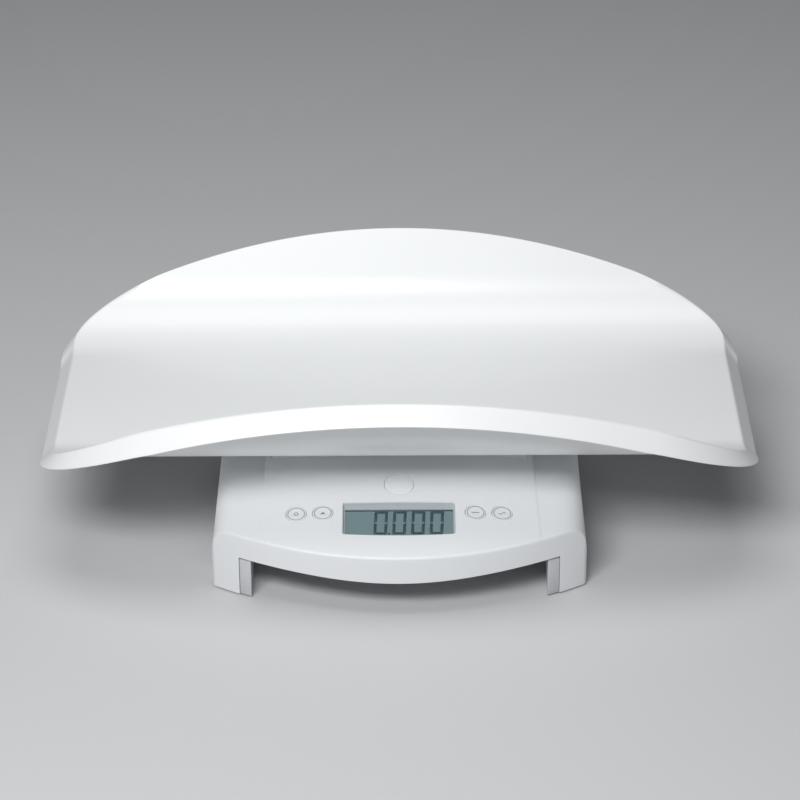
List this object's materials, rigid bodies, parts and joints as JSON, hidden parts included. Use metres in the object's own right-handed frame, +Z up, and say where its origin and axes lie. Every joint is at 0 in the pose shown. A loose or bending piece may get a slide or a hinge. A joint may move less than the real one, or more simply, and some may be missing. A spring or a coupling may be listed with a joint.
{
  "type": "digital baby weighing scale",
  "caption": "Digital baby scale: a long trough-shaped tray that lifts off a low legged base with a sloping console, display window and round keys.",
  "frame": {"origin": "centre of the object's bounding box on the surface it stands on", "axes": "+X along the tray to the right as the user faces the display, -Y towards the user, +Z up"},
  "size_m": [0.552, 0.332, 0.1799],
  "materials": {
    "tray_shell": "smooth moulded ABS with a soft sheen",
    "housing": "fine-grained moulded ABS",
    "base_plate": "plain moulded ABS",
    "steel": "zinc plated",
    "clear_window": "clear polished acrylic",
    "bezel": "satin",
    "lcd": "liquid crystal glass with a grey-green polariser",
    "light_guide": "frosted clear acrylic",
    "contact_rubber": "striped conductive elastomer",
    "circuit_board": "solder mask on glass fibre",
    "chips": "moulded epoxy",
    "keys": "smooth moulded ABS with a soft sheen",
    "button": "smooth moulded ABS",
    "inner_plastic": "unpainted acetal",
    "load_cell_metal": "milled",
    "foot_rubber": "matte moulded rubber",
    "battery_jacket": "printed-free shrink sleeve over a steel can",
    "contact_metal": "nickel-plated spring brass"
  },
  "bodies": {
    "base": {"upper_housing": "housing", "lower_housing": "base_plate", "housing_screws": "steel", "display_window": "clear_window", "display_bezel": "bezel", "lcd_glass": "lcd", "lcd_light_guide": "light_guide", "lcd_contact_strips": "contact_rubber", "main_board": "circuit_board", "board_chips": "chips", "board_screws": "steel", "key_switches": "chips", "release_spring": "steel", "latch_spring": "steel", "load_cell_front_left": "load_cell_metal", "load_cell_front_right": "load_cell_metal", "load_cell_back_left": "load_cell_metal", "load_cell_back_right": "load_cell_metal", "foot_carrier_front_left": "inner_plastic", "foot_carrier_front_right": "inner_plastic", "foot_carrier_back_left": "inner_plastic", "foot_carrier_back_right": "inner_plastic", "rubber_foot_front_left": "foot_rubber", "rubber_foot_front_right": "foot_rubber", "rubber_foot_back_left": "foot_rubber", "rubber_foot_back_right": "foot_rubber", "load_cell_screws": "steel", "battery_1": "battery_jacket", "battery_2": "battery_jacket", "battery_3": "battery_jacket", "battery_4": "battery_jacket", "battery_contacts": "contact_metal", "battery_springs": "steel"},
    "outer_left_key": {"key_outer_left": "keys", "plunger_outer_left": "bezel"},
    "inner_left_key": {"key_inner_left": "keys", "plunger_inner_left": "bezel"},
    "inner_right_key": {"key_inner_right": "keys", "plunger_inner_right": "bezel"},
    "outer_right_key": {"key_outer_right": "keys", "plunger_outer_right": "bezel"},
    "release": {"release_button": "button"},
    "latch": {"latch_slide": "inner_plastic"},
    "tray": {"weighing_tray": "tray_shell", "tray_bracket": "tray_shell", "tray_screws": "steel"},
    "battery_hatch": {"battery_door": "base_plate"}
  },
  "joints": [
    {"name": "outer_left_key_press", "type": "slide", "parent": "base", "child": "outer_left_key", "axis": [0, 0.2538, -0.9673], "range_m": [0, 0.0005], "stiffness_N_per_m": 1500, "springref_m": -0.0004},
    {"name": "inner_left_key_press", "type": "slide", "parent": "base", "child": "inner_left_key", "axis": [0, 0.2538, -0.9673], "range_m": [0, 0.0005], "stiffness_N_per_m": 1500, "springref_m": -0.0004},
    {"name": "inner_right_key_press", "type": "slide", "parent": "base", "child": "inner_right_key", "axis": [0, 0.2538, -0.9673], "range_m": [0, 0.0005], "stiffness_N_per_m": 1500, "springref_m": -0.0004},
    {"name": "outer_right_key_press", "type": "slide", "parent": "base", "child": "outer_right_key", "axis": [0, 0.2538, -0.9673], "range_m": [0, 0.0005], "stiffness_N_per_m": 1500, "springref_m": -0.0004},
    {"name": "release_press", "type": "slide", "parent": "base", "child": "release", "axis": [0, 0.2538, -0.9673], "range_m": [0, 0.0035], "stiffness_N_per_m": 1200, "springref_m": -0.002, "deforming": ["release_spring"]},
    {"name": "latch_draw", "type": "slide", "parent": "base", "child": "latch", "axis": [0, -1, 0], "range_m": [0, 0.0026], "stiffness_N_per_m": 600, "springref_m": -0.001, "deforming": ["latch_spring"]},
    {"name": "tray_lift_off", "type": "slide", "parent": "base", "child": "tray", "axis": [0, 0, 1], "range_m": [0, 0.06]},
    {"name": "battery_door_slide", "type": "slide", "parent": "base", "child": "battery_hatch", "axis": [0, 1, 0], "range_m": [0, 0.065]}
  ],
  "couplings": [
    {"joint": "latch_draw", "follows": "release_press", "ratio": 0.71351}
  ]
}
